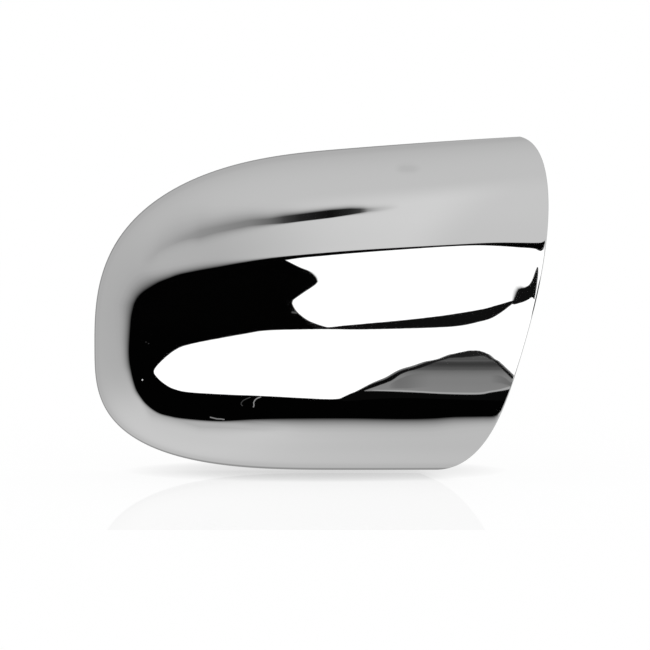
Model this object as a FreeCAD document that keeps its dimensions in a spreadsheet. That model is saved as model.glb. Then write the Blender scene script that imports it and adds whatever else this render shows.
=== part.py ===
import FreeCAD, Part
import os
import re
from math import atan2, cos, degrees, pi, radians, sin, tan

import Sketcher
from FreeCAD import Placement, Rotation, Vector

# The back cover of a door mirror: one moulded shell, open at the rim and at its inboard end.
# X runs outboard to inboard, Y from the show face to the rim, Z up. The rim lies in the plane y = 0,
# the show face bulges towards -Y, and the origin is the middle of the rim's bounding rectangle.

doc = FreeCAD.newDocument("WingMirrorCover")
sheet = doc.addObject("Spreadsheet::Sheet", "Dimensions")

DIMENSIONS = [
    ("wall", "2.5", "even wall of the moulding"),
    ("crown_depth", "85", "rim plane to the highest point of the show face"),
    ("parting_depth", "22", "rim plane back to the plane where the walls would stand upright"),
    ("crown_x", "27", "highest point of the show face, across"),
    ("crown_z", "-11", "highest point of the show face, up"),
    ("crown_radius", "500", "radius of the show face's gentle crown"),
    ("spine_z", "-25", "level of the outboard tip, from which the face falls away up and down"),
    ("top_height", "108.2", "spine to top edge at the shoulder"),
    ("top_slope", "4.7", "degrees that the top edge climbs towards the inboard end"),
    ("top_arc_radius", "5000", "radius of the top edge's long arc"),
    ("bottom_height", "64.5", "spine to bottom edge"),
    ("shoulder_x", "17.5", "where the outboard end starts to round off"),
    ("outboard_length", "132.5", "shoulder to outboard tip"),
    ("upper_corner", "2.8", "squareness of the upper outboard corner, 2 is an ellipse"),
    ("lower_corner", "3", "squareness of the lower outboard corner"),
    ("top_fall", "2.6", "squareness of the section towards the top edge"),
    ("bottom_fall", "3.2", "squareness of the section towards the bottom edge"),
    ("outboard_fall", "3.1", "squareness of the section towards the outboard tip"),
    ("inboard_x", "87.75", "inboard cut where it crosses the rim plane at mid height"),
    ("inboard_lean", "17", "degrees that the inboard cut leans outwards as it rises"),
    ("inboard_rake", "20.2", "degrees that the inboard cut draws back towards the rim"),
    ("edge_radius", "0.8", "rounding of the show side's edges, at the rim and at the inboard end"),
    ("hook_width", "14", "width of a snap hook along the rim"),
    ("hook_length", "22", "rim plane to the back of a hook's foot"),
    ("hook_setback", "2.5", "rim plane to the tip of a hook"),
    ("hook_gap", "5", "free space between the wall at the rim and a hook's arm"),
    ("hook_arm", "2", "thickness of a hook's arm"),
    ("hook_foot", "2.4", "thickness of a hook's foot"),
    ("hook_barb", "2.2", "how far the barb stands in from the arm"),
    ("hook_barb_height", "6.5", "height of the barb with its lead-in slope"),
    ("top_hooks", "3", "number of hooks on the top wall"),
    ("top_hook_x", "-48", "outboard one of the hooks on the top wall"),
    ("top_hook_pitch", "60", "spacing of the hooks on the top wall"),
    ("bottom_hooks", "2", "number of hooks on the bottom wall"),
    ("bottom_hook_x", "-42", "outboard one of the hooks on the bottom wall"),
    ("bottom_hook_pitch", "66", "spacing of the hooks on the bottom wall"),
    ("rib_width", "1.5", "thickness of a locating rib"),
    ("rib_height", "6", "how far a rib stands in from the wall at the rim"),
    ("rib_setback", "3", "rim plane to the end of a rib"),
    ("rib_spread", "38", "degrees between the outboard hook and the rib on either side of it"),
    ("pin_width", "9", "width of a cross-shaped locating pin"),
    ("pin_web", "1.8", "thickness of a pin's webs"),
    ("pin_tip", "46", "rim plane to the tip of a pin"),
    ("pin_chamfer", "2", "lead-in chamfer at a pin's tip"),
    ("pins", "2", "number of locating pins"),
    ("pin_x", "-38", "outboard pin, across"),
    ("pin_pitch", "92", "spacing of the pins"),
    ("pin_z", "8", "level of the pins"),
]

for row, (alias, value, note) in enumerate(DIMENSIONS, start=1):
    sheet.set("A%d" % row, alias)
    sheet.set("B%d" % row, value)
    sheet.set("C%d" % row, note)
    sheet.setAlias("B%d" % row, alias)
doc.recompute()


def size(alias):
    return float(sheet.get(alias))


def formula(text):
    """A sum of the sheet's words, written so that it reads them from the sheet."""
    return re.sub("([a-z_]+)", "Dimensions.\\1", text)


# The outer skin and the surfaces parallel to it

CORNER_SHARE = 4
PRECISION = 1e-6
TOUCHING = 1e-3
LONGEST = 4 * (size("outboard_length") + size("top_height"))


def edge_heights(x, inset):
    """Distance from the spine up to the top edge and down to the bottom edge at x."""
    along = x - size("shoulder_x")
    climb = along * tan(radians(size("top_slope"))) - along ** 2 / (2 * size("top_arc_radius"))
    return size("top_height") + climb - inset, size("bottom_height") - inset


def crown(x, z, inset):
    """Depth of the show face in front of the parting plane."""
    sag = ((x - size("crown_x")) ** 2 + (z - size("crown_z")) ** 2) / (2 * size("crown_radius"))
    return size("parting_depth") + size("crown_depth") - sag - inset


def fullness(point, inset):
    """Below 1 inside the surface that lies inset under the skin, 1 on it, above 1 outside it."""
    top, bottom = edge_heights(point.x, inset)
    rise = point.z - size("spine_z")
    if rise > 0:
        upright, corner, fall = rise / top, size("upper_corner"), size("top_fall")
    else:
        upright, corner, fall = -rise / bottom, size("lower_corner"), size("bottom_fall")
    sideways = max(0.0, (size("shoulder_x") - point.x) / (size("outboard_length") - inset))
    gauge = (upright ** corner + sideways ** corner) ** (1 / corner)
    if gauge > 0:
        share = sideways ** CORNER_SHARE / (upright ** CORNER_SHARE + sideways ** CORNER_SHARE)
        fall += share * (size("outboard_fall") - fall)
    forward = (size("parting_depth") - point.y) / crown(point.x, point.z, inset)
    return max(forward, 0.0) ** fall + gauge ** fall


def reach(start, direction, inset):
    """Distance from a point inside the surface out to it, along a direction."""
    inside, outside = 0.0, LONGEST
    while outside - inside > PRECISION:
        middle = (inside + outside) / 2
        if fullness(start + direction * middle, inset) < 1:
            inside = middle
        else:
            outside = middle
    return inside


# The plugs: sections in upright planes that turn about a hinge line far behind the rim, from beyond the
# inboard cut round to the outboard tip, closer together where the skin turns the corner

SECTIONS = 13
SECTION_POINTS = 19
HINGE_SETBACK = 90
HINGE_X = (size("inboard_x") + size("crown_depth") * tan(radians(size("inboard_rake")))
           + size("top_height") * tan(radians(size("inboard_lean"))))
HINGE_Y = size("parting_depth") + HINGE_SETBACK
TIP_X = size("shoulder_x") - size("outboard_length")
LAST_TURN = degrees(atan2(HINGE_X - TIP_X, HINGE_Y - size("parting_depth") / 3))


def section(turn, inset):
    """The skin's curve from top to bottom in one upright plane, turned from the fore-and-aft plane."""
    outwards = Vector(-sin(radians(turn)), -cos(radians(turn)), 0)
    up = Vector(0, 0, 1)
    to_parting = (HINGE_Y - size("parting_depth")) / cos(radians(turn))
    start = Vector(HINGE_X, HINGE_Y, size("spine_z")) + outwards * to_parting
    steps = [pi * i / (SECTION_POINTS - 1) for i in range(SECTION_POINTS)]
    rays = [up * cos(step) + outwards * sin(step) for step in steps]
    curve = Part.BSplineCurve()
    curve.interpolate(Points=[start + ray * reach(start, ray, inset) for ray in rays], Parameters=steps)
    return curve.toShape()


def make_plug(name, inset, overrun):
    """Solid whose front is a loft through sections inset under the skin, run past both ends by an angle."""
    sections = []
    for i in range(SECTIONS):
        turn = (LAST_TURN + overrun) * sin(pi / 2 * i / (SECTIONS - 1)) - overrun * (i == 0)
        curve = doc.addObject("Part::Feature", "%s_section_%d" % (name, i + 1))
        curve.Shape = section(turn, inset)
        sections.append(curve)
    skin = doc.addObject("Part::Loft", name + "_skin")
    skin.Sections = sections
    skin.Solid = False
    doc.recompute()
    first, last = sections[0].Shape, sections[-1].Shape
    sides = [e for e in skin.Shape.Edges if abs(e.CenterOfMass.y - size("parting_depth")) < TOUCHING]
    caps = [Part.makeLine(e.Vertexes[0].Point, e.Vertexes[-1].Point) for e in (first, last)]
    faces = [Part.Face(Part.Wire([e, line])) for e, line in zip((first, last), caps)]
    faces.append(Part.Face(Part.Wire(Part.__sortEdges__(sides + caps))))
    plug = doc.addObject("Part::Feature", name)
    shell = Part.Shell(skin.Shape.Faces + faces)
    shell.sewShape()
    plug.Shape = Part.Solid(shell)
    return plug


OVERRUN = 0.5
outer_plug = make_plug("outer_plug", 0, 0)
core = make_plug("core", size("wall"), OVERRUN)
mid_wall_plug = make_plug("mid_wall_plug", size("wall") / 2, OVERRUN / 2)


# The shell: outer plug less core, trimmed at the rim plane and at the leaning inboard plane

def make_block(name, placement):
    block = doc.addObject("Part::Box", name)
    block.setExpression("Length", "Dimensions.outboard_length * 4")
    block.setExpression("Width", "Dimensions.outboard_length * 4")
    block.setExpression("Height", "Dimensions.outboard_length * 4")
    block.Placement = placement
    return block


def make_cut(name, base, tool):
    cut = doc.addObject("Part::Cut", name)
    cut.Base = base
    cut.Tool = tool
    return cut


BLOCK = 4 * size("outboard_length")
inboard_normal = Vector(1, tan(radians(size("inboard_rake"))), -tan(radians(size("inboard_lean"))))
inboard_turn = Rotation(Vector(1, 0, 0), inboard_normal)
inboard_corner = Vector(size("inboard_x"), 0, 0) + inboard_turn.multVec(Vector(0, -BLOCK / 2, -BLOCK / 2))
behind_rim = make_block("behind_rim", Placement(Vector(-BLOCK / 2, 0, -BLOCK / 2), Rotation()))
past_inboard = make_block("past_inboard", Placement(inboard_corner, inboard_turn))

hollow = make_cut("hollow", outer_plug, core)
rimmed = make_cut("rimmed", hollow, behind_rim)
shell = make_cut("shell", rimmed, past_inboard)
doc.recompute()


def show_edges(shape):
    """Numbers of the outer skin's edges that lie in the rim plane or in the inboard plane."""
    found = []
    for number, edge in enumerate(shape.Edges, start=1):
        start, end = edge.valueAt(edge.FirstParameter), edge.valueAt(edge.LastParameter)
        middle = edge.valueAt((edge.FirstParameter + edge.LastParameter) / 2)
        offsets = [(p - Vector(size("inboard_x"), 0, 0)).dot(inboard_normal) for p in (start, middle, end)]
        at_rim = all(abs(p.y) < TOUCHING for p in (start, middle, end))
        at_inboard = all(abs(offset) < TOUCHING for offset in offsets)
        if at_rim != at_inboard and fullness(middle, size("wall") / 2) > 1:
            found.append(number)
    return found


rounded_shell = doc.addObject("Part::Fillet", "rounded_shell")
rounded_shell.Base = shell
rounded_shell.Edges = [(n, size("edge_radius"), size("edge_radius")) for n in show_edges(shell.Shape)]
doc.recompute()

# What is moulded on the inner face: hooks and ribs along the rim, and two pins on the crown. Each starts
# from a profile in a plane across the wall, with X inwards from the rim's inner edge and Y towards the rim

def rim_station(x, bearing):
    """Placement on the rim's inner edge, seen at a bearing from a point of the spine."""
    start = Vector(x, 0, size("spine_z"))
    ray = Vector(cos(radians(bearing)), 0, sin(radians(bearing)))
    point = start + ray * reach(start, ray, size("wall"))
    nudge = size("wall") / 100
    slopes = [fullness(point + axis * nudge, size("wall")) - fullness(point - axis * nudge, size("wall"))
              for axis in (Vector(1, 0, 0), Vector(0, 0, 1))]
    inwards = Vector(-slopes[0], 0, -slopes[1]).normalize()
    to_rim = Vector(0, 1, 0)
    return Placement(point, Rotation(inwards, to_rim, inwards.cross(to_rim), "XYZ"))


def hold_corner(sketch, corner, across, depth):
    """Tie a corner of a profile to the sheet: its distance across, and its depth below the rim."""
    for kind, text, backwards in (("DistanceX", across.lstrip("-"), across.startswith("-")),
                                  ("DistanceY", depth, True)):
        ends = (corner, 1, -1, 1) if backwards else (-1, 1, corner, 1)
        length = sketch.evalExpression(formula(text))
        number = sketch.addConstraint(Sketcher.Constraint(kind, *ends, length))
        sketch.setExpression("Constraints[%d]" % number, formula(text))


def make_moulding(name, corners, width, placement):
    """Body padded evenly to both sides of a profile."""
    body = doc.addObject("PartDesign::Body", name)
    sketch = body.newObject("Sketcher::SketchObject", name + "_profile")
    plane = [f for f in body.Origin.OriginFeatures if f.Role == "XY_Plane"]
    sketch.AttachmentSupport = [(plane[0], "")]
    sketch.MapMode = "FlatFace"
    places = []
    for across, depth in corners:
        x, y = [sketch.evalExpression(formula(text)) for text in (across, depth)]
        places.append(Vector(x, -y, 0))
    for i, place in enumerate(places):
        sketch.addGeometry(Part.LineSegment(place, places[(i + 1) % len(places)]))
    for i, (across, depth) in enumerate(corners):
        sketch.addConstraint(Sketcher.Constraint("Coincident", i, 1, (i - 1) % len(corners), 2))
        hold_corner(sketch, i, across, depth)
    pad = body.newObject("PartDesign::Pad", name + "_pad")
    pad.Profile = sketch
    pad.SideType = "Symmetric"
    pad.setExpression("Length", "Dimensions." + width)
    body.Placement = placement
    return body


HOOK = [
    ("-wall", "hook_length"),
    ("hook_gap + hook_arm", "hook_length"),
    ("hook_gap + hook_arm", "hook_setback + hook_barb_height"),
    ("hook_gap + hook_arm + hook_barb", "hook_setback + hook_barb_height"),
    ("hook_gap + hook_arm + hook_barb", "hook_setback + hook_barb_height - hook_barb / 2"),
    ("hook_gap + hook_arm / 2", "hook_setback"),
    ("hook_gap", "hook_setback"),
    ("hook_gap", "hook_length - hook_foot"),
    ("-wall", "hook_length - hook_foot"),
]
RIB = [
    ("-wall", "crown_depth"),
    ("rib_height", "crown_depth"),
    ("rib_height", "rib_setback"),
    ("-wall", "rib_setback"),
]
PIN = [
    ("-pin_width / 2", "crown_depth"),
    ("pin_width / 2", "crown_depth"),
    ("pin_width / 2", "pin_tip + pin_chamfer"),
    ("pin_width / 2 - pin_chamfer", "pin_tip"),
    ("-(pin_width / 2 - pin_chamfer)", "pin_tip"),
    ("-pin_width / 2", "pin_tip + pin_chamfer"),
]
UP, OUTBOARD, DOWN = 90, 180, 270


def row_of(count, first, pitch):
    """Evenly spaced places, from the sheet's words for their number, start and spacing."""
    return [size(first) + size(pitch) * i for i in range(int(size(count)))]


top_hooks = row_of("top_hooks", "top_hook_x", "top_hook_pitch")
bottom_hooks = row_of("bottom_hooks", "bottom_hook_x", "bottom_hook_pitch")
hook_stations = ([(x, UP) for x in top_hooks] + [(x, DOWN) for x in bottom_hooks]
                 + [(size("shoulder_x"), OUTBOARD)])
rib_stations = ([(x + size("top_hook_pitch") / 2, UP) for x in top_hooks[:-1]]
                + [(x + size("bottom_hook_pitch") / 2, DOWN) for x in bottom_hooks[:-1]]
                + [(size("shoulder_x"), OUTBOARD + side * size("rib_spread")) for side in (-1, 1)])

mouldings = []
for i, station in enumerate(hook_stations, start=1):
    mouldings.append(make_moulding("hook_%d" % i, HOOK, "hook_width", rim_station(*station)))
for i, station in enumerate(rib_stations, start=1):
    mouldings.append(make_moulding("rib_%d" % i, RIB, "rib_width", rim_station(*station)))
for i, x in enumerate(row_of("pins", "pin_x", "pin_pitch"), start=1):
    foot = Vector(x, 0, size("pin_z"))
    for web, turn in (("flat", 0), ("upright", 90)):
        placement = Placement(foot, Rotation(Vector(0, 1, 0), turn))
        mouldings.append(make_moulding("pin_%d_%s" % (i, web), PIN, "pin_web", placement))

bundle = doc.addObject("Part::MultiFuse", "bundle")
bundle.Shapes = mouldings
rooted = doc.addObject("Part::Common", "rooted")
rooted.Base = bundle
rooted.Tool = mid_wall_plug
cover = doc.addObject("Part::Fuse", "cover")
cover.Base = rounded_shell
cover.Tool = rooted
cover.Label = "mirror_cover"
doc.recompute()

for thing in doc.Objects:
    if "Invalid" in thing.State or "Error" in thing.State:
        raise RuntimeError("%s did not recompute: %s" % (thing.Label, thing.State))
if cover.Shape.isNull() or not cover.Shape.isValid() or len(cover.Shape.Solids) != 1:
    raise RuntimeError("mirror_cover is not one valid solid")

os.makedirs("parts", exist_ok=True)
cover.Shape.exportStep("parts/%s.step" % cover.Label)
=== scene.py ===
from math import cos, hypot, pi, radians, sin, tan

import bmesh
import bpy
import numpy as np
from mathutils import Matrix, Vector
from mathutils.geometry import delaunay_2d_cdt


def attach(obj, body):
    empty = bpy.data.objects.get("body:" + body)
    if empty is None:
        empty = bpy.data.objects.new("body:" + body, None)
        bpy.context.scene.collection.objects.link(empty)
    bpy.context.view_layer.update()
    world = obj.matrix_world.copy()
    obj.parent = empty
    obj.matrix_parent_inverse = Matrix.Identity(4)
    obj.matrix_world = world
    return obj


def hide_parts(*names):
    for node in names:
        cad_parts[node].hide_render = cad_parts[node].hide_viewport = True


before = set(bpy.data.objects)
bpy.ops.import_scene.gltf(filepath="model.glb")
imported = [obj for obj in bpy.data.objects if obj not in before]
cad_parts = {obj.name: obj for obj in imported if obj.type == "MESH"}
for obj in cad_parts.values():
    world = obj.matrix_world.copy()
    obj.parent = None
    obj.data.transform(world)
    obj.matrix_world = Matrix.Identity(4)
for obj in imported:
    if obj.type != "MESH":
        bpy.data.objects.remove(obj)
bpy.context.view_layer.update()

# Sizes in millimetres, in the frame of the CAD model: X runs outboard to inboard, Y from the show face to
# the rim, Z up, and the rim lies in the plane y = 0

MM = 0.001
WALL = 2.5

# The outer skin bulges forward from a parting plane behind the rim. Its sections stand on a spine that runs
# inboard from the shoulder, and outboard of that they turn round the end
CROWN_DEPTH = 85
PARTING_DEPTH = 22
CROWN_X, CROWN_Z = 27, -11
CROWN_RADIUS = 500
SPINE_Z = -25
TOP_HEIGHT = 108.2
TOP_SLOPE = radians(4.7)
TOP_ARC_RADIUS = 5000
BOTTOM_HEIGHT = 64.5
SHOULDER_X = 17.5
OUTBOARD_LENGTH = 132.5

# Powers: how square the corners of the outline are, how square the roll from the crown to the rim is, and
# how late in a corner that roll changes
UPPER_CORNER, LOWER_CORNER = 2.8, 3.0
TOP_FALL, BOTTOM_FALL, OUTBOARD_FALL = 2.6, 3.2, 3.1
CORNER_SHARE = 4

# The inboard cut, and the rounding of the edges
INBOARD_X = 87.75
INBOARD_LEAN = radians(17)
INBOARD_RAKE = radians(20.2)
SHOW_EDGE_RADIUS = 0.8
INNER_EDGE_RADIUS = 0.3

# The skin is laid out in columns that run from the spine out to the rim: across the top from the inboard
# end to the shoulder, round the outboard end, and back along the bottom

INBOARD_COLUMNS = 48
CORNER_COLUMNS = 64
RINGS = 64

# Searches: rounds of halving, rounds towards the inboard cut, a small step, a number that stands for nought,
# and the bends between which the rim lies
BISECTIONS = 44
PLANE_STEPS = 12
NUDGE = 1e-4
TINY = 1e-30
FIRST_BEND, LAST_BEND = 0.5, pi / 2 - 1e-6


def heights(x):
    """Spine to the top edge and to the bottom edge at x."""
    along = x - SHOULDER_X
    climb = along * tan(TOP_SLOPE) - along ** 2 / (2 * TOP_ARC_RADIUS)
    return TOP_HEIGHT + climb, BOTTOM_HEIGHT + 0 * along


def crown(x, z):
    """Depth of the show face in front of the parting plane."""
    sag = ((x - CROWN_X) ** 2 + (z - CROWN_Z) ** 2) / (2 * CROWN_RADIUS)
    return PARTING_DEPTH + CROWN_DEPTH - sag


def fall_of(upper, sideways, upright):
    """Squareness of the section, turning from the top's or bottom's to the outboard end's."""
    fall = np.where(upper, TOP_FALL, BOTTOM_FALL)
    around, up = sideways ** CORNER_SHARE, upright ** CORNER_SHARE
    share = around / np.maximum(around + up, TINY)
    return fall + share * (OUTBOARD_FALL - fall)


def fullness(p):
    """Below 1 inside the outer skin, 1 on it, above 1 outside it, for an array of points."""
    x, y, z = p[..., 0], p[..., 1], p[..., 2]
    top, bottom = heights(x)
    upper = z > SPINE_Z
    upright = np.where(upper, (z - SPINE_Z) / top, (SPINE_Z - z) / bottom)
    sideways = np.maximum(0, (SHOULDER_X - x) / OUTBOARD_LENGTH)
    corner = np.where(upper, UPPER_CORNER, LOWER_CORNER)
    gauge = (upright ** corner + sideways ** corner) ** (1 / corner)
    fall = fall_of(upper, sideways, upright)
    forward = np.maximum(0, (PARTING_DEPTH - y) / crown(x, z))
    return forward ** fall + gauge ** fall


def outward(p):
    """Unit normals of the skin at an array of points."""
    slopes = [fullness(p + axis * NUDGE) - fullness(p - axis * NUDGE) for axis in np.eye(3)]
    normal = np.stack(slopes, axis=-1)
    return normal / np.linalg.norm(normal, axis=-1, keepdims=True)


RIM_NORMAL = np.array([0.0, 1.0, 0.0])
INBOARD_NORMAL = np.array([1.0, tan(INBOARD_RAKE), -tan(INBOARD_LEAN)])
INBOARD_NORMAL /= np.linalg.norm(INBOARD_NORMAL)
INBOARD_POINT = np.array([INBOARD_X, 0.0, 0.0])


class Columns:
    """Columns of the skin: on which side each lies, how far round the corner, and how far inboard."""

    def __init__(self, upper, turn, inboard):
        self.upper, self.turn, self.inboard = upper, turn, inboard
        corner = np.where(upper, UPPER_CORNER, LOWER_CORNER)
        size = (np.sin(turn) ** corner + np.cos(turn) ** corner) ** (1 / corner)
        self.sideways = np.sin(turn) / size
        self.upright = np.cos(turn) / size
        self.fall = fall_of(upper, self.sideways, self.upright)

    def on_skin(self, bend, x_end):
        """Points of the skin at an angle of bend away from the spine, for every column."""
        size = (np.sin(bend) ** self.fall + np.cos(bend) ** self.fall) ** (1 / self.fall)
        gauge, forward = np.sin(bend) / size, np.cos(bend) / size
        x = SHOULDER_X - OUTBOARD_LENGTH * gauge * self.sideways + self.inboard * (x_end - SHOULDER_X)
        top, bottom = heights(x)
        z = SPINE_Z + gauge * self.upright * np.where(self.upper, top, -bottom)
        return np.stack([x, PARTING_DEPTH - forward * crown(x, z), z], axis=-1)

    def cut(self, bend, depth, radius):
        """The same, ending the inboard columns where a ball of the edge's radius meets the inboard cut."""
        x_end = INBOARD_X + 0 * bend
        ends = Columns(self.upper, 0 * self.turn, 0 * self.inboard + 1)
        for _ in range(PLANE_STEPS):
            p = ends.on_skin(bend, x_end)
            centre = p - depth * outward(p)
            x_end = x_end - ((centre - INBOARD_POINT) @ INBOARD_NORMAL + radius) / INBOARD_NORMAL[0]
        return self.on_skin(bend, x_end)

    def rim_bend(self, depth, radius):
        """The bend at which a ball of the edge's radius, depth under the skin, meets the rim plane."""
        low, high = 0 * self.turn + FIRST_BEND, 0 * self.turn + LAST_BEND
        for _ in range(BISECTIONS):
            middle = (low + high) / 2
            p = self.cut(middle, depth, radius)
            short = p[:, 1] - depth * outward(p)[:, 1] < -radius
            low, high = np.where(short, middle, low), np.where(short, high, middle)
        return low


def whole_cover():
    """The columns from the inboard end along the top, round the outboard end and back along the bottom."""
    inboard = np.linspace(1, 0, INBOARD_COLUMNS + 1)
    turn = np.linspace(0, pi / 2, CORNER_COLUMNS + 1)[1:]
    straight = 0 * inboard
    upper = np.concatenate([straight + 1, turn * 0 + 1, turn[:-1] * 0, straight]) > 0.5
    turns = np.concatenate([straight, turn, turn[:-1][::-1], straight])
    inboards = np.concatenate([inboard, turn * 0, turn[:-1] * 0, inboard[::-1]])
    return Columns(upper, turns, inboards)


def lay_skin(depth, radius):
    """Grid of points and normals of the outer skin, spine to rim by column, trimmed for an edge's ball."""
    columns = whole_cover()
    rim = columns.rim_bend(depth, radius)
    rows = [columns.cut(rim * k / RINGS, depth, radius) for k in range(RINGS + 1)]
    points = np.stack(rows)
    return points, outward(points)


def between(a, b, share):
    """Unit vectors turned from a towards b by a share of the angle between them."""
    angle = np.arccos(np.clip(np.sum(a * b, axis=-1, keepdims=True), -1, 1))
    return (np.sin((1 - share) * angle) * a + np.sin(share * angle) * b) / np.sin(angle)


# Steps round the edges and round the rim's two ends, the shell's two finishes, and the digits to which points
# that are joined agree
SHOW_EDGE_STEPS = 5
INNER_EDGE_STEPS = 2
CORNER_STEPS = 5
BRIGHT, SATIN = 0, 1
WELD_DIGITS = 4


def shell_mesh():
    """Points, normals, faces and face zones of the plated shell: outer skin, edge and inner skin."""
    outer, outer_n = lay_skin(SHOW_EDGE_RADIUS, SHOW_EDGE_RADIUS)
    under = WALL - INNER_EDGE_RADIUS
    inner, inner_n = lay_skin(under, INNER_EDGE_RADIUS)
    inner = inner - WALL * inner_n
    rows, cols = outer.shape[:2]
    points, normals, faces, zones = [], [], [], []

    def add_grid(p, n, zone):
        """Adds a grid of points with their normals, and the faces between them."""
        start = sum(len(q) for q in points)
        high, wide = p.shape[:2]
        points.append(p.reshape(-1, 3))
        normals.append(n.reshape(-1, 3))
        index = start + np.arange(high * wide).reshape(high, wide)
        quads = np.stack([index[:-1, :-1], index[:-1, 1:], index[1:, 1:], index[1:, :-1]], axis=-1)
        faces.append(quads.reshape(-1, 4))
        zones.extend([zone] * len(faces[-1]))

    add_grid(outer, outer_n, BRIGHT)
    add_grid(inner, -inner_n, SATIN)

    # Once round the edge: along the rim, up the lower half of the inboard cut, then the upper half
    stations = [(rows - 1, c, RIM_NORMAL) for c in range(cols)]
    for s in range(1, CORNER_STEPS):
        stations.append((rows - 1, cols - 1, between(RIM_NORMAL, INBOARD_NORMAL, s / CORNER_STEPS)))
    stations += [(r, cols - 1, INBOARD_NORMAL) for r in range(rows - 1, 0, -1)]
    stations += [(r, 0, INBOARD_NORMAL) for r in range(rows)]
    for s in range(1, CORNER_STEPS + 1):
        stations.append((rows - 1, 0, between(INBOARD_NORMAL, RIM_NORMAL, s / CORNER_STEPS)))
    edge_points, edge_normals = [], []
    for r, c, facing in stations:
        line, line_n = [], []
        n, m = outer_n[r, c], -inner_n[r, c]
        high = outer[r, c] - SHOW_EDGE_RADIUS * n
        low = inner[r, c] - INNER_EDGE_RADIUS * m
        for s in range(SHOW_EDGE_STEPS + 1):
            way = between(n, facing, s / SHOW_EDGE_STEPS)
            line.append(high + SHOW_EDGE_RADIUS * way)
            line_n.append(way)
        for s in range(INNER_EDGE_STEPS + 1):
            way = between(facing, m, s / INNER_EDGE_STEPS)
            line.append(low + INNER_EDGE_RADIUS * way)
            line_n.append(way)
        edge_points.append(line)
        edge_normals.append(line_n)
    add_grid(np.array(edge_points), np.array(edge_normals), BRIGHT)
    return np.concatenate(points), np.concatenate(normals), np.concatenate(faces), zones


def weld(points, normals, faces, zones):
    """Joins points that coincide, drops faces that this leaves without area, and turns the rest outward."""
    keys = np.round(points, WELD_DIGITS)
    _, first, index = np.unique(keys, axis=0, return_index=True, return_inverse=True)
    index = index.reshape(-1)
    summed = np.zeros((len(first), 3))
    np.add.at(summed, index, normals)
    summed /= np.linalg.norm(summed, axis=1, keepdims=True)
    points = points[first]
    kept, kept_zones = [], []
    for face, zone in zip(index[faces], zones):
        loop = [int(v) for k, v in enumerate(face) if v != face[k - 1]]
        if len(set(loop)) == len(loop) and len(loop) > 2:
            turned = np.cross(points[loop[1]] - points[loop[0]], points[loop[-1]] - points[loop[0]])
            kept.append(loop if turned @ summed[loop].sum(axis=0) > 0 else loop[::-1])
            kept_zones.append(zone)
    return points, summed, kept, kept_zones


def new_piece(name, points, faces):
    """A mesh object from points in millimetres."""
    mesh = bpy.data.meshes.new(name)
    mesh.from_pydata([Vector(p) * MM for p in points], [], faces)
    piece = bpy.data.objects.new(name, mesh)
    bpy.context.scene.collection.objects.link(piece)
    return piece


# Materials

def linear(code):
    """Linear colour of an sRGB hex value."""
    levels = [int(code[i:i + 2], 16) / 255 for i in (1, 3, 5)]
    return [v / 12.92 if v <= 0.04045 else ((v + 0.055) / 1.055) ** 2.4 for v in levels] + [1.0]


def add_node(tree, kind, links=(), **settings):
    """Adds a node, sets its properties and inputs by name, and links other nodes' outputs to its inputs."""
    node = tree.nodes.new(kind)
    for key, value in settings.items():
        if hasattr(node, key):
            setattr(node, key, value)
        else:
            node.inputs[key.replace("_", " ")].default_value = value
    for socket, source in dict(links).items():
        tree.links.new(source, node.inputs[socket])
    return node


def new_material(name):
    """An empty node material and its output node."""
    material = bpy.data.materials.new(name)
    material.use_nodes = True
    material.node_tree.nodes.clear()
    return material, material.node_tree, material.node_tree.nodes.new("ShaderNodeOutputMaterial")


def per_metre(millimetres):
    """Texture scale for a pattern whose features are that size, on coordinates in metres."""
    return 1 / (millimetres * MM)


def tone(tree, *slopes, smooth=True):
    """One tone from the values of sockets, multiplied together. Each slope is a socket and two pairs of its
    value and the tone there."""
    result = None
    for socket, low, high in slopes:
        slope = add_node(tree, "ShaderNodeMapRange", {"Value": socket}, From_Min=low[0], To_Min=low[1],
                         From_Max=high[0], To_Max=high[1],
                         interpolation_type="SMOOTHSTEP" if smooth else "LINEAR")
        if result is None:
            result = slope.outputs["Result"]
        else:
            both = add_node(tree, "ShaderNodeMath", {0: result, 1: slope.outputs["Result"]},
                            operation="MULTIPLY")
            result = both.outputs["Value"]
    return result


def not_from_floor(tree):
    """Nought for what the floor's sharp polish mirrors, and one for all else."""
    path = add_node(tree, "ShaderNodeLightPath")
    return tone(tree, (path.outputs["Is Singular Ray"], (0, 1), (1, 0)), smooth=False)


# What the finishes carry, in millimetres: the moulding's faint waves, haze on the bright plating, the mould's
# grain on the unpolished side and duller patches there. The real grain is finer, and is drawn as coarse as it
# needs to show. Each roughness is two pairs of a noise's value and the roughness there
WAVE_WIDTH, WAVE_HEIGHT, WAVE_STRENGTH = 38, 0.3, 0.05
HAZE_WIDTH = 25
GRAIN_WIDTH, GRAIN_HEIGHT, GRAIN_STRENGTH = 0.9, 0.1, 0.25
PATCH_WIDTH = 60
BRIGHT_ROUGHNESS = (0, 0.01), (1, 0.025)
SATIN_ROUGHNESS = (0, 0.30), (1, 0.42)
BRIGHT_COLOUR, BRIGHT_EDGE_COLOUR, SATIN_COLOUR = "#CBCBCB", "#DCDCDC", "#ABABAB"


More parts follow.
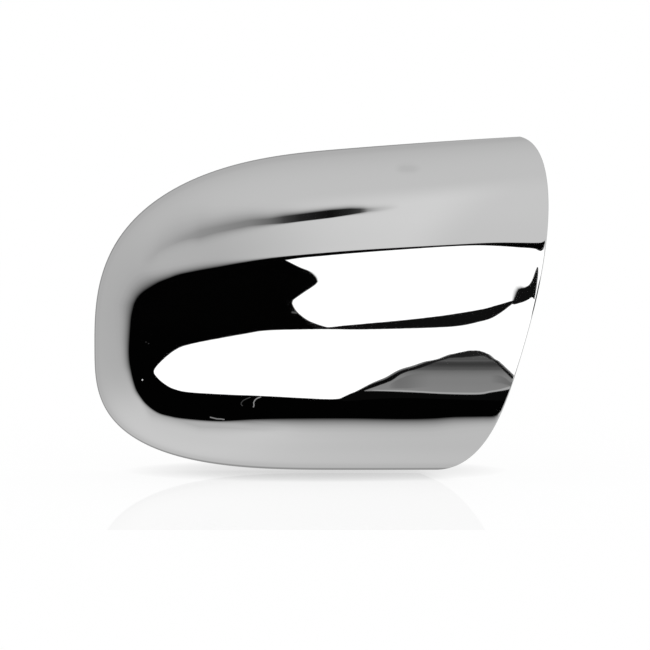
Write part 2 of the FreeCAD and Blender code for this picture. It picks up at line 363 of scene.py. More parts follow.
def bright_chrome():
    """Decorative chrome plating on moulded ABS: a hard bright mirror with the moulding's faint waviness."""
    material, tree, output = new_material("bright_chrome_on_abs")
    place = add_node(tree, "ShaderNodeTexCoord").outputs["Object"]
    wave = add_node(tree, "ShaderNodeTexNoise", {"Vector": place}, Scale=per_metre(WAVE_WIDTH), Detail=1.0)
    bump = add_node(tree, "ShaderNodeBump", {"Height": wave.outputs["Fac"]}, Strength=WAVE_STRENGTH,
                    Distance=WAVE_HEIGHT * MM)
    haze = add_node(tree, "ShaderNodeTexNoise", {"Vector": place}, Scale=per_metre(HAZE_WIDTH), Detail=3.0)
    rough = tone(tree, (haze.outputs["Fac"], *BRIGHT_ROUGHNESS), smooth=False)
    metal = add_node(tree, "ShaderNodeBsdfPrincipled", {"Roughness": rough, "Normal": bump.outputs["Normal"]},
                     Metallic=1.0)
    metal.inputs["Base Color"].default_value = linear(BRIGHT_COLOUR)
    metal.inputs["Specular Tint"].default_value = linear(BRIGHT_EDGE_COLOUR)
    tree.links.new(metal.outputs["BSDF"], output.inputs["Surface"])
    return material


def satin_plating():
    """The unpolished side of the same plating: the mould's eroded texture shows through as a dull satin."""
    material, tree, output = new_material("satin_plating_on_abs")
    place = add_node(tree, "ShaderNodeTexCoord").outputs["Object"]
    grain = add_node(tree, "ShaderNodeTexNoise", {"Vector": place}, Scale=per_metre(GRAIN_WIDTH), Detail=4.0)
    bump = add_node(tree, "ShaderNodeBump", {"Height": grain.outputs["Fac"]}, Strength=GRAIN_STRENGTH,
                    Distance=GRAIN_HEIGHT * MM)
    patch = add_node(tree, "ShaderNodeTexNoise", {"Vector": place}, Scale=per_metre(PATCH_WIDTH), Detail=2.0)
    rough = tone(tree, (patch.outputs["Fac"], *SATIN_ROUGHNESS), smooth=False)
    metal = add_node(tree, "ShaderNodeBsdfPrincipled", {"Roughness": rough, "Normal": bump.outputs["Normal"]},
                     Metallic=1.0)
    metal.inputs["Base Color"].default_value = linear(SATIN_COLOUR)
    tree.links.new(metal.outputs["BSDF"], output.inputs["Surface"])
    return material


chrome = bright_chrome()
satin = satin_plating()


def ride_on_cover(piece):
    """Every piece is moulded with the cover: it rides with it, and the imported cover is hidden."""
    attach(piece, "root")
    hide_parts("mirror_cover")


def make_shell():
    """The plated shell, bright outside and on its edges, satin inside."""
    points, normals, faces, zones = weld(*shell_mesh())
    shell = new_piece("shell", points, faces)
    shell.data.materials.append(chrome)
    shell.data.materials.append(satin)
    shell.data.polygons.foreach_set("material_index", zones)
    shell.data.polygons.foreach_set("use_smooth", [True] * len(faces))
    shell.data.normals_split_custom_set_from_vertices(normals)
    ride_on_cover(shell)
    return points


# What is moulded on the inner face, in millimetres. A setback is a distance in front of the rim plane, and
# hooks stand at places along X

HOOK_WIDTH, HOOK_LENGTH, HOOK_SETBACK, HOOK_GAP = 14, 22, 2.5, 5
HOOK_ARM, HOOK_FOOT, HOOK_BARB, HOOK_BARB_HEIGHT = 2, 2.4, 2.2, 6.5
TOP_HOOKS = [-48, 12, 72]
BOTTOM_HOOKS = [-42, 24]
RIB_WIDTH, RIB_HEIGHT, RIB_SETBACK, RIB_SPREAD = 1.5, 6, 3, radians(38)
RIB_STEP, RIB_POINTS = 0.5, 14
PIN_WIDTH, PIN_WEB, PIN_TIP, PIN_CHAMFER = 9, 1.8, 46, 2
PINS = [(-38, 8), (54, 8)]
MOULDED_RADIUS = 0.3
UP, OUTBOARD, DOWN = pi / 2, pi, -pi / 2
FAR_INSIDE, LONGEST_RAY = 30, 400


def along_ray(start, direction):
    """Where a ray from inside meets the outer skin."""
    near, far = 0.0, LONGEST_RAY
    for _ in range(BISECTIONS):
        middle = (near + far) / 2
        if fullness(start + direction * middle) < 1:
            near = middle
        else:
            far = middle
    return start + direction * near


class Station:
    """A place on the rim's inner edge: a point and the direction inwards from the wall there."""

    def __init__(self, x, bearing):
        start = np.array([x, 0, SPINE_Z], float)
        skin = along_ray(start, np.array([cos(bearing), 0, sin(bearing)]))
        normal = outward(skin)
        level = np.array([normal[0], 0, normal[2]])
        self.inwards = -level / np.linalg.norm(level)
        self.point = skin + self.inwards * WALL / np.linalg.norm(level)
        self.cross = np.cross(self.inwards, RIM_NORMAL)

    def mid_wall(self, depth):
        """Distance inwards, and depth, of the middle of the wall level with a depth below the rim."""
        start = self.point + self.inwards * FAR_INSIDE - RIM_NORMAL * depth
        skin = along_ray(start, -self.inwards)
        middle = skin - outward(skin) * WALL / 2
        return (middle - self.point) @ self.inwards, -middle[1]

    def pad(self, name, outline, width):
        """A piece with an outline of distances inwards and depths, padded evenly to both sides."""
        shape = bmesh.new()
        corners = [self.point + self.inwards * across - RIM_NORMAL * depth for across, depth in outline]
        near = [shape.verts.new(Vector(c - self.cross * width / 2)) for c in corners]
        far = [shape.verts.new(Vector(c + self.cross * width / 2)) for c in corners]
        shape.faces.new(near)
        shape.faces.new(far[::-1])
        for k in range(len(corners)):
            shape.faces.new([near[k - 1], far[k - 1], far[k], near[k]])
        return finish_moulding(name, shape)


def finish_moulding(name, shape):
    """Turns a closed shape in millimetres into a piece with slightly rounded edges."""
    bmesh.ops.recalc_face_normals(shape, faces=shape.faces)
    bmesh.ops.bevel(shape, geom=shape.edges, offset=MOULDED_RADIUS, segments=2, profile=0.5, affect="EDGES",
                    clamp_overlap=True)
    bmesh.ops.scale(shape, vec=Vector((MM, MM, MM)), verts=shape.verts)
    mesh = bpy.data.meshes.new(name)
    shape.to_mesh(mesh)
    shape.free()
    mesh.polygons.foreach_set("use_smooth", [True] * len(mesh.polygons))
    mesh.materials.append(satin)
    piece = bpy.data.objects.new(name, mesh)
    bpy.context.scene.collection.objects.link(piece)
    piece.modifiers.new("flat_sides", "WEIGHTED_NORMAL")
    ride_on_cover(piece)
    return piece


def make_hook(name, station):
    """An L-shaped snap hook: a foot out from the wall, an arm along it towards the rim, and a barb."""
    barb = HOOK_SETBACK + HOOK_BARB_HEIGHT
    arm_face = HOOK_GAP + HOOK_ARM
    root = [station.mid_wall(depth)[0] for depth in (HOOK_LENGTH, HOOK_LENGTH - HOOK_FOOT)]
    outline = [
        (root[0], HOOK_LENGTH),
        (arm_face, HOOK_LENGTH),
        (arm_face, barb),
        (arm_face + HOOK_BARB, barb),
        (arm_face + HOOK_BARB, barb - HOOK_BARB / 2),
        (HOOK_GAP + HOOK_ARM / 2, HOOK_SETBACK),
        (HOOK_GAP, HOOK_SETBACK),
        (HOOK_GAP, HOOK_LENGTH - HOOK_FOOT),
        (root[1], HOOK_LENGTH - HOOK_FOOT),
    ]
    station.pad(name, outline, HOOK_WIDTH)


def make_rib(name, station):
    """A thin rib whose inner edge runs straight in from the rim until the wall curves into it."""
    deepest = RIB_SETBACK
    while station.mid_wall(deepest)[0] < RIB_HEIGHT:
        deepest += RIB_STEP
    depths = np.linspace(deepest, RIB_SETBACK, RIB_POINTS)
    wall = [station.mid_wall(depth) for depth in depths]
    wall[-1] = (wall[-1][0], RIB_SETBACK)
    station.pad(name, [(RIB_HEIGHT, RIB_SETBACK), (RIB_HEIGHT, wall[0][1])] + wall[1:], RIB_WIDTH)


def make_pin(name, x, z):
    """A cross-shaped locating pin that stands on the crown and points at the rim."""
    web, arm = PIN_WEB / 2, PIN_WIDTH / 2

    def cross(reach):
        """Corners of four arms that reach that far from the middle."""
        ring = []
        for k in range(4):
            turn = np.array([[cos(k * pi / 2), -sin(k * pi / 2)], [sin(k * pi / 2), cos(k * pi / 2)]])
            ring += [turn @ np.array(corner) for corner in ((web, web), (web, reach), (-web, reach))]
        return ring

    shape = bmesh.new()
    levels = []
    for reach, depth in ((arm, None), (arm, PIN_TIP + PIN_CHAMFER), (arm - PIN_CHAMFER, PIN_TIP)):
        ring = []
        for u, v in cross(reach):
            inside = np.array([x + u, 0, z + v], float)
            crown_y = along_ray(inside, -RIM_NORMAL)[1] + WALL / 2
            ring.append(shape.verts.new((x + u, crown_y if depth is None else -depth, z + v)))
        levels.append(ring)
    for low, high in zip(levels, levels[1:]):
        for k in range(len(low)):
            shape.faces.new([low[k - 1], low[k], high[k], high[k - 1]])
    shape.faces.new(levels[0][::-1])
    shape.faces.new(levels[-1])
    finish_moulding(name, shape)


def make_mouldings():
    """Hooks and ribs along the rim, and the locating pins."""
    hooks = [(x, UP) for x in TOP_HOOKS] + [(x, DOWN) for x in BOTTOM_HOOKS] + [(SHOULDER_X, OUTBOARD)]
    for number, place in enumerate(hooks, start=1):
        make_hook("snap_hook_%d" % number, Station(*place))
    ribs = [((a + b) / 2, UP) for a, b in zip(TOP_HOOKS, TOP_HOOKS[1:])]
    ribs += [((a + b) / 2, DOWN) for a, b in zip(BOTTOM_HOOKS, BOTTOM_HOOKS[1:])]
    ribs += [(SHOULDER_X, OUTBOARD + side * RIB_SPREAD) for side in (-1, 1)]
    for number, place in enumerate(ribs, start=1):
        make_rib("locating_rib_%d" % number, Station(*place))
    for number, place in enumerate(PINS, start=1):
        make_pin("locating_pin_%d" % number, *place)


shell_points = make_shell()
make_mouldings()


# The camera stands low in front of the show face, with a long lens. What it sees of the skin lies behind the
# near plane

AIM = np.array([9.8, 0, -12.2])
CAMERA_DISTANCE = 1250
CAMERA_RISE = radians(3)
LENS, SENSOR = 128.6, 36
AHEAD = np.array([0, cos(CAMERA_RISE), -sin(CAMERA_RISE)])
UPRIGHT = np.array([0, sin(CAMERA_RISE), cos(CAMERA_RISE)])
EYE = AIM - CAMERA_DISTANCE * AHEAD
NEAR_PLANE = -200


def make_camera():
    """The camera, looking along +Y and slightly down at the cover."""
    data = bpy.data.cameras.new("camera")
    data.lens = LENS
    camera = bpy.data.objects.new("camera", data)
    camera.location = Vector(EYE) * MM
    camera.rotation_euler = (pi / 2 - CAMERA_RISE, 0, 0)
    bpy.context.scene.collection.objects.link(camera)
    bpy.context.scene.camera = camera


# The studio: pale all round, with the things that the plating mirrors. Their outlines are lists of corners
# in the photograph's pixels, across and down, where they show in the cover, and each is hung where the skin
# mirrors it from. Past the inboard end they follow the skin's own curve onwards. A third number is how far
# the border fades, and a corner given twice is sharp. Only the plating sees them

PHOTO_WIDTH = 650
STUDIO_RADIUS = 12

# In pixels: the fade of a crisp border, how far a softbox's glare spreads, the steps along outlines, streaks
# and cards, and how close points are one. A fade is quick at first and then slow, by a power
CRISP = 0.6
GLARE = 0.4
OUTLINE_STEP, STREAK_STEP, CARD_STEP = 3, 4, (12, 12)
JOINED = 1e-5
FADE_POWER = 3
FADE_SHARES = (0, 0.1, 0.2, 0.35, 0.5, 0.7, 1)

# Light of what is mirrored, where the white of the floor and the room is 1
BLACK, GREY_BLACK, GAP_BLACK, EDGE_BLACK = 0.001, 0.0075, 0.008, 0.02
PIPING_GREY, HEM_GREY, WHITE = 0.26, 0.6, 1.9

DRAPE = [
    (545.8, 239.4), (545.8, 239.4), (541.5, 242.7), (520, 242.8), (500, 242.7), (480, 243.3), (450, 244.9),
    (400, 247.6), (350, 250.8), (300, 255), (270, 258.4, 2.5), (240, 263.1, 6.5), (220, 266.8, 10.5),
    (200, 270.4, 13), (180, 274.5, 13.5), (170, 278, 15.5), (160, 281.9, 19), (152, 286.3, 25),
    (145, 290.7, 26), (139, 296, 24), (136, 300.5, 22), (134.3, 304, 22), (133, 309, 22), (131.6, 315, 19),
    (130.8, 321, 17), (130.1, 330, 16), (129.4, 340, 15), (129, 350, 13), (129.4, 360, 12),
    (130.4, 367, 11), (131.6, 373, 9), (133, 379.1, 8), (134.8, 385.3, 7), (136.9, 390.8, 7),
    (140.4, 396.5, 6), (145, 402.6, 5), (151.8, 408.6, 4.5), (159.7, 413.3, 4), (170, 416.1, 4),
    (180, 418, 4), (200, 420, 4), (220, 421, 4), (240, 420, 8), (260, 419, 14), (300, 418.3, 21),
    (350, 418.2, 21), (400, 418.9, 20), (430, 418.4, 20), (455, 416.8, 18), (480, 416.4, 16),
    (494, 416, 14), (498.9, 413.5), (503, 408), (503, 408), (800, 396), (800, 396), (800, 236), (800, 236)]
UPPER_SOFTBOX = [
    (285, 260), (285, 260), (300, 267.6), (309, 271.4), (315.8, 277.5), (317.4, 281.5), (314.8, 284.7),
    (305, 291.3), (296.3, 297.3), (292.6, 300.3), (291.8, 303.5), (295.3, 310.2), (301.3, 316.1),
    (311, 322.1), (325, 326.9), (330, 327.3), (345, 325.7), (365, 323.8), (400, 320.6), (440, 316.1),
    (480, 309.7), (497, 305.3), (513, 301), (516, 302.3), (540, 302.3), (540, 302.3), (800, 302.3),
    (800, 302.3), (800, 232), (800, 232),
    (546.4, 239), (546.4, 239), (544.6, 245), (543.2, 249.4), (541, 250.9), (539, 250.4), (536, 248.8),
    (530, 247.9), (520, 247.3), (500, 245.9), (477, 245.2), (450, 246.2), (415, 248.4), (380, 250.9),
    (350, 253.3), (320, 255.9), (300, 257.8)]
LOWER_SOFTBOX = [
    (153.7, 371), (160.3, 362), (175, 349.8), (190, 344.1), (220, 338), (245, 333.5), (265, 330.4),
    (300, 329.3), (330, 329.1), (355, 329.3), (400, 328.4), (440, 327.1), (460, 325.5), (475, 322.5),
    (490, 318.5), (500, 312.9), (508, 307), (512.5, 303.6), (516, 302), (540, 302), (540, 302), (800, 302),
    (800, 302), (800, 390), (800, 390), (520, 384), (520, 384), (505, 380), (490, 368), (470, 360),
    (450, 362), (430, 369), (400, 380), (375, 390), (350, 396.5), (338, 399), (325, 399.3), (300, 398.1),
    (260, 396), (230, 394.9), (190, 392.5), (174.2, 389.2), (165.4, 384.7), (157.3, 377.9)]
SOFTBOX_GAP = [
    (511.8, 303.2), (514, 299.5, 5), (517, 292.3, 9), (518.7, 289.4, 9), (521.5, 288.4, 7), (525, 287.9, 3),
    (528.2, 286, 1), (531.1, 282.5), (533.5, 277.2), (535.5, 271.3), (537.4, 266.8), (538, 267), (538.2, 272),
    (537.1, 283), (535.6, 293), (534.4, 299.6), (534.4, 299.6), (532.6, 297.2), (531, 297.5),
    (529, 299), (525, 301.2), (520, 302.9), (514.5, 304.4), (512.6, 304)]
DRAPE_FOLD = [
    (296, 268), (308, 271.5, 3), (313, 275.2, 5), (315.8, 279, 5), (316.4, 281.5, 4), (313, 284.5, 1),
    (303, 283)]
SOFTBOX_SHADE = [
    (306, 322), (330, 325), (365, 321), (400, 318), (440, 314), (480, 308), (505, 301), (516, 300),
    (510, 308), (497, 318), (480, 326), (440, 330), (400, 331), (330, 331)]

# A seat at the lower right: its dark back, its light piping, its front in bands from the top down, and the
# hem below. The shades are pairs of a row of pixels and its light
SEAT_BACK = [
    (338, 399.6), (338, 399.6), (350, 394), (360, 390), (373, 383.7, 1), (385, 379.5, 1), (395, 374, 1.5),
    (402, 370.8, 1.5), (415, 366.8, 1), (430, 361.4, 1), (440, 357.4, 1), (450, 354.6), (462, 352),
    (470, 350.6), (480, 351), (486, 353.1), (490, 355.4), (494, 358.3, 1), (498, 361.8, 1), (502, 365.7, 1),
    (506, 369.8, 1.5), (510, 373.6, 1.5), (514, 377.6, 1), (530, 393), (530, 400), (480, 400), (400, 398),
    (345, 401), (345, 401)]
SEAT_BACK_SHADES = [(356, 0.021), (366, 0.013), (373, 0.004)]
SEAT_PIPING = [
    (352, 393.6), (352, 393.6), (360, 389.4), (373, 382.6), (385, 377.7), (395, 372), (402, 369),
    (415, 365.2), (430, 359.9), (440, 356.9), (450, 354.6), (462, 353), (470, 353), (480, 353),
    (488, 353.8), (494, 356.7), (498, 360.3), (502, 363.9), (506, 367.7), (510, 371.5), (530, 391),
    (530, 391), (530, 396), (400, 396), (400, 396)]
SEAT_FRONT = [
    (364, 391), (364, 391), (380, 385.2), (392, 380.5), (400, 375.1), (408, 371.7), (415, 369.9),
    (425, 366.6), (440, 360.6), (448, 357.1), (460, 356.5), (470, 356), (480, 355.4), (486, 355.8),
    (491, 358.5), (496, 362.8), (501, 368.1), (511, 378), (530, 397), (530, 397), (530, 383), (509, 389.1),
    (500, 390.8), (490, 392.4), (480, 394.1), (460, 394.2), (440, 393.5), (420, 392.4), (400, 391.5),
    (385, 391)]
SEAT_SHADES = [
    (356, 0.145), (358.6, 0.125), (359.8, 0.17), (361, 0.145), (362, 0.085), (364.2, 0.062), (366, 0.09),
    (367, 0.098), (368, 0.162), (369, 0.11), (370, 0.19), (371, 0.24), (373, 0.28), (375, 0.315),
    (378, 0.345), (383, 0.35), (388, 0.365), (391, 0.37)]
SEAT_HEM = [
    (372, 390.1), (400, 390.3), (420, 391.2), (440, 392.2), (460, 392.8), (480, 392.7), (490, 391),
    (500, 389.3), (530, 381), (530, 383), (509, 389.1), (500, 390.8), (490, 392.4), (480, 394.1),
    (460, 394.2), (440, 393.5), (420, 392.4), (400, 391.5), (385, 391)]

# Thin light marks in the drape's dark, one of them a painted glint: each a line, its width and its light
THIN_MARKS = [
    ([(261, 396.7), (256.6, 398.6), (254.6, 400.6), (253.6, 403), (254, 405.2), (253.4, 407.2)], 0.7, 0.45),
    ([(250.5, 397.2), (247, 398.6), (243.2, 400.4), (241.3, 402.6), (241, 404.4), (242.6, 406)], 0.4, 0.1),
    ([(210, 417.2), (213.4, 418), (217, 418.9), (221, 419), (224.4, 419.6)], 0.8, 0.35),
    ([(291.6, 312), (293, 312.4), (295, 312.6), (297, 313)], 1.6, 0.13),
    # A bright speck: a painted glint
    ([(141.9, 380.3), (142.8, 379.5)], 0.9, 1.2),
    ([(145.6, 341.9), (146.4, 342.1)], 0.3, 0.1), ([(148.2, 343.3), (149, 343.5)], 0.3, 0.12)]

# Soft streaks: across, top, bottom, how dark, and the fades above and below. First the gap between the
# ceiling's panels, then a painted shadow along the drape's hem, a spot on a panel and painted shade in the
# folds at the seat's two ends
CEILING_GAP = [
    (140, 262, 264, 0, 40, 18), (150, 256, 260, 0.08, 40, 18), (160, 247, 250, 0.16, 44, 18),
    (170, 241, 245, 0.21, 48, 16), (180, 238.5, 241, 0.29, 50, 14), (190, 235.5, 238, 0.34, 46, 14),
    (200, 231, 237, 0.39, 40, 15), (215, 227.5, 232.5, 0.43, 31, 15), (230, 224.5, 229.5, 0.49, 28, 12.5),
    (250, 220.5, 225.5, 0.57, 21, 11), (270, 219.1, 223.8, 0.75, 16, 6), (285, 216.5, 223, 0.93, 13, 2.6),
    (300, 214.5, 221.3, 0.98, 10, 1.4), (330, 210.4, 217.8, 1, 8, 1.2), (350, 208.8, 214.6, 0.98, 8, 2),
    (362, 209, 212.3, 0.94, 8, 4), (369, 209, 211, 0.5, 8, 5), (378, 208, 210.5, 0.25, 8, 5),
    (400, 206, 207, 0, 8, 5)]
# The hem streak is a painted shadow: it darkens the pale room just below the drape's lower edge
DRAPE_HEM_SHADE = [
    (140, 398, 402, 0, 2, 12), (150, 408, 414, 0.2, 2, 14), (165, 415, 418, 0.26, 2, 14),
    (180, 417, 421, 0.28, 2, 15), (200, 419, 427, 0.24, 2, 13), (220, 420, 427.5, 0.25, 2, 13),
    (245, 421, 429, 0.19, 2, 9), (265, 424, 430, 0.11, 2, 6), (285, 426, 430, 0, 2, 4)]
CEILING_SPOT = [
    (394, 167, 170, 0, 5, 5), (402, 167, 171, 0.09, 9, 7), (413, 167, 171, 0.09, 9, 7),
    (421, 167, 170, 0, 5, 5)]
# The two fold streaks are painted shade in the folds at the seat's ends
LEFT_FOLD_SHADE = [
    (388, 386, 388, 0, 1, 1), (394, 382, 388, 0.24, 1, 2), (400, 379, 388, 0.26, 2, 2),
    (408, 376, 388, 0.22, 2, 2), (418, 374, 387, 0.1, 3, 3), (430, 374, 386, 0, 3, 3)]
RIGHT_FOLD_SHADE = [
    (490, 376, 382, 0, 3, 4), (500, 376, 382, 0.2, 3, 4), (506, 379, 384, 0.27, 2, 3),
    (512, 384, 386, 0.3, 2, 1), (520, 388, 388, 0.3, 1, 1)]

# What darkens the inboard end's rounded edge: down the edge, and how dark. It hangs where that edge mirrors
# it from, at these shares of the turn from the skin to the cut
EDGE_SHADE = [
    (540, 276, 0), (539.3, 280, 0.35), (538.8, 284, 0.9), (537.5, 288, 0.9), (535.7, 296, 1), (534.3, 303, 1),
    (532.7, 311, 0.95), (531.8, 315, 0.5), (530.8, 320, 0)]
EDGE_SHARES = (0.05, 0.12, 0.25, 0.4, 0.6, 0.85)


def mirrored(pixels, distance, turn=0):
    """Places at a distance in metres that the camera sees at pixels of the photograph: in the skin, or in the
    inboard edge at a share of its turn from the skin to the cut."""
    across, down = (np.array(pixels, float) - PHOTO_WIDTH / 2).T / PHOTO_WIDTH * SENSOR
    ray = AHEAD * LENS + across[:, None] * np.array([1, 0, 0]) - down[:, None] * UPRIGHT
    ray /= np.linalg.norm(ray, axis=1, keepdims=True)
    near, far = [(depth - EYE[1]) / ray[:, 1:2] for depth in (NEAR_PLANE, PARTING_DEPTH)]
    for _ in range(BISECTIONS):
        middle = (near + far) / 2
        outside = fullness(EYE + ray * middle)[:, None] > 1
        near, far = np.where(outside, middle, near), np.where(outside, far, middle)
    place = EYE + ray * near
    normal = outward(place)
    if turn:
        normal = between(normal, INBOARD_NORMAL, turn)
    bounce = ray - 2 * np.sum(ray * normal, axis=1, keepdims=True) * normal
    return place * MM + bounce * distance


def smooth_outline(corners):
    """A closed curve through the corners, as points about a step apart."""
    corners = [np.array(tuple(c) + (CRISP,) * (3 - len(c)), float) for c in corners]
    curve = []
    for k, start in enumerate(corners):
        before = corners[k - 1]
        end, after = [corners[(k + ahead) % len(corners)] for ahead in (1, 2)]
        length = hypot(*(end - start)[:2])
        if length == 0:
            continue
        pieces = max(1, round(length / OUTLINE_STEP))
        for t in np.arange(pieces) / pieces:
            curve.append(0.5 * (2 * start + (end - before) * t
                                + (2 * before - 5 * start + 4 * end - after) * t ** 2
                                + (3 * start - before - 3 * end + after) * t ** 3))
    return curve


def card_material():
    """Light of the level that a card's points carry, clear where their cover runs out and for the floor."""
    material, tree, output = new_material("studio_card")
    level = add_node(tree, "ShaderNodeAttribute", attribute_name="level")
    cover = add_node(tree, "ShaderNodeAttribute", attribute_name="cover")
    glow = add_node(tree, "ShaderNodeEmission", {"Color": level.outputs["Fac"]})
    clear = add_node(tree, "ShaderNodeBsdfTransparent")
    shown = add_node(tree, "ShaderNodeMath", {0: cover.outputs["Fac"], 1: not_from_floor(tree)},
                     operation="MULTIPLY")
    mix = add_node(tree, "ShaderNodeMixShader", {0: shown.outputs["Value"], 1: clear.outputs["BSDF"],
                                                 2: glow.outputs["Emission"]})
    tree.links.new(mix.outputs["Shader"], output.inputs["Surface"])
    return material


studio_card = card_material()


def hang(name, places, faces, cover, level):
    """Hangs a card in the studio, which shows in reflections alone. Cover and level are given by point."""
    mesh = bpy.data.meshes.new(name)
    mesh.from_pydata([Vector(p) for p in places], [], faces)
    mesh.attributes.new("cover", "FLOAT", "POINT").data.foreach_set("value", cover)
    mesh.attributes.new("level", "FLOAT", "POINT").data.foreach_set("value", level)
    mesh.materials.append(studio_card)
    card = bpy.data.objects.new(name, mesh)
    bpy.context.scene.collection.objects.link(card)
    card.visible_camera = False
    card.visible_diffuse = False
    card.visible_shadow = False
    card.visible_transmission = False


def fading(share):
    """Cover of a border at a share of its width, quick at first and then slow."""
    return (1 - share) ** FADE_POWER


def strip_faces(rows, count, closed):
    """Faces between rows of count points each, laid one after the other."""
    faces = []
    for row in range(rows - 1):
        for k in range(count if closed else count - 1):
            a, b = row * count + k, row * count + (k + 1) % count
            faces.append([a, a + count, b + count, b])
    return faces


def make_card(name, corners, level=BLACK, nearer=0, step=CARD_STEP, shades=None, glare=0):
    """A card with a closed outline, some metres nearer than the wall, of even light or with shades from the
    top down, and drawn in by its glare."""
    rim = smooth_outline(corners)
    flat = [Vector(p[:2]) for p in rim]
    area = sum(a.x * b.y - b.x * a.y for a, b in zip(flat, flat[1:] + flat[:1]))
    side = 1 if area > 0 else -1
    away = []
    for before, after in zip(flat[-1:] + flat[:-1], flat[1:] + flat[:1]):
        along = after - before
        away.append(Vector((along.y, -along.x)).normalized() * side)
    flat = [place - way * glare for place, way in zip(flat, away)]
    pixels = []
    for share in FADE_SHARES:
        pixels += [place + way * share * max(p[2], CRISP) for place, way, p in zip(flat, away, rim)]
    faces = strip_faces(len(FADE_SHARES), len(rim), True)
    cover = [fading(share) for share in FADE_SHARES for _ in rim]
    lows = [min(p[k] for p in flat) for k in (0, 1)]
    highs = [max(p[k] for p in flat) for k in (0, 1)]
    grid = [Vector((x, y)) for x in np.arange(lows[0], highs[0], step[0])
            for y in np.arange(lows[1], highs[1], step[1])]
    loop = list(range(len(flat)))[::side]
    inside, _, inner_faces, *_ = delaunay_2d_cdt(flat + grid, [], [loop], 1, JOINED)
    first = len(pixels)
    pixels += inside
    faces += [[first + v for v in face] for face in inner_faces]
    cover += [1] * len(inside)
    if shades:
        downs, tones = zip(*shades)
        levels = np.interp([p[1] for p in pixels], downs, tones)
    else:
        levels = [level] * len(pixels)
    hang(name, mirrored(pixels, STUDIO_RADIUS - nearer), faces, cover, levels)


def make_streak(name, spine, level=0, nearer=0):
    """A soft dark streak, some metres nearer than the wall."""
    spine = np.array(spine, float)
    across = np.arange(spine[0, 0], spine[-1, 0] + STREAK_STEP, STREAK_STEP)
    top, bottom, dark, above, below = [np.interp(across, spine[:, 0], spine[:, k]) for k in range(1, 6)]
    rows = [(top - above * share, fading(share)) for share in FADE_SHARES[::-1]]
    rows += [(bottom + below * share, fading(share)) for share in FADE_SHARES]
    pixels = [(x, y) for down, _ in rows for x, y in zip(across, down)]
    cover = [share * d for _, share in rows for d in dark]
    faces = strip_faces(len(rows), len(across), False)
    hang(name, mirrored(pixels, STUDIO_RADIUS - nearer), faces, cover, [level] * len(pixels))


def make_thin_mark(name, spine, width, level):
    """A thin card along a line of pixels, in front of the softboxes."""
    spine = np.array(spine)
    along = np.gradient(spine, axis=0)
    away = np.stack([along[:, 1], -along[:, 0]], axis=1) / np.linalg.norm(along, axis=1, keepdims=True)
    sides = [spine + away * width / 2, (spine - away * width / 2)[::-1]]
    make_card(name, [tuple(p) for p in np.concatenate(sides)], level, nearer=3)


def make_edge_shade(name, spine, level, nearer):
    """A card that shows in the inboard end's rounded edge alone."""
    pixels = [p[:2] for p in spine]
    places = [mirrored(pixels, STUDIO_RADIUS - nearer, turn) for turn in EDGE_SHARES]
    cover = [p[2] for p in spine] * len(places)
    faces = strip_faces(len(places), len(pixels), False)
    hang(name, np.concatenate(places), faces, cover, [level] * len(cover))


make_card("black_drape", DRAPE)
make_streak("ceiling_gap", CEILING_GAP, GAP_BLACK)
make_streak("drape_hem_shade", DRAPE_HEM_SHADE, BLACK, nearer=0.2)
make_card("upper_softbox", UPPER_SOFTBOX, WHITE, nearer=1, glare=GLARE)
make_card("lower_softbox", LOWER_SOFTBOX, WHITE, nearer=1.2, glare=GLARE)
make_card("softbox_shade", SOFTBOX_SHADE, GREY_BLACK, nearer=0.5)
make_card("softbox_gap", SOFTBOX_GAP, GREY_BLACK, nearer=2)
make_card("drape_fold", DRAPE_FOLD, nearer=2)
make_card("seat_piping", SEAT_PIPING, PIPING_GREY, nearer=1.7)
make_card("seat_back", SEAT_BACK, nearer=2, step=(10, 3), shades=SEAT_BACK_SHADES)
make_card("seat_front", SEAT_FRONT, nearer=3, step=(4, 1), shades=SEAT_SHADES)
make_card("seat_hem", SEAT_HEM, HEM_GREY, nearer=4)
make_streak("ceiling_spot", CEILING_SPOT)
make_streak("left_fold_shade", LEFT_FOLD_SHADE, nearer=3.5)
make_streak("right_fold_shade", RIGHT_FOLD_SHADE, nearer=3.5)
make_edge_shade("edge_shade", EDGE_SHADE, EDGE_BLACK, nearer=3)
for number, line_mark in enumerate(THIN_MARKS, start=1):
    make_thin_mark("cable_%d" % number, *line_mark)


# The floor: matt white, with a faint polish under the cover that ends in front of it. It stays white for the
# camera, apart from a contact shade from ambient occlusion and a painted soft shade under the cover. Sizes
# are in millimetres, the others are shares of the light

FLOOR_GAP = 1.4
FLOOR_REACH = 5000
POLISH_FRONT, POLISH_BACK, POLISH_SOFTNESS = -230, 20, 20
POLISH = 0.087
CONTACT_REACH, CONTACT_SHADE = 8.5, 0.07
SHADE_CENTRE, SHADE_WIDTH, SHADE_DEPTH, SOFT_SHADE = (5, 0), 104, 55, 0.3
PAINT_SHARE = 0.08

floor_level = min(p[2] for p in shell_points) - FLOOR_GAP


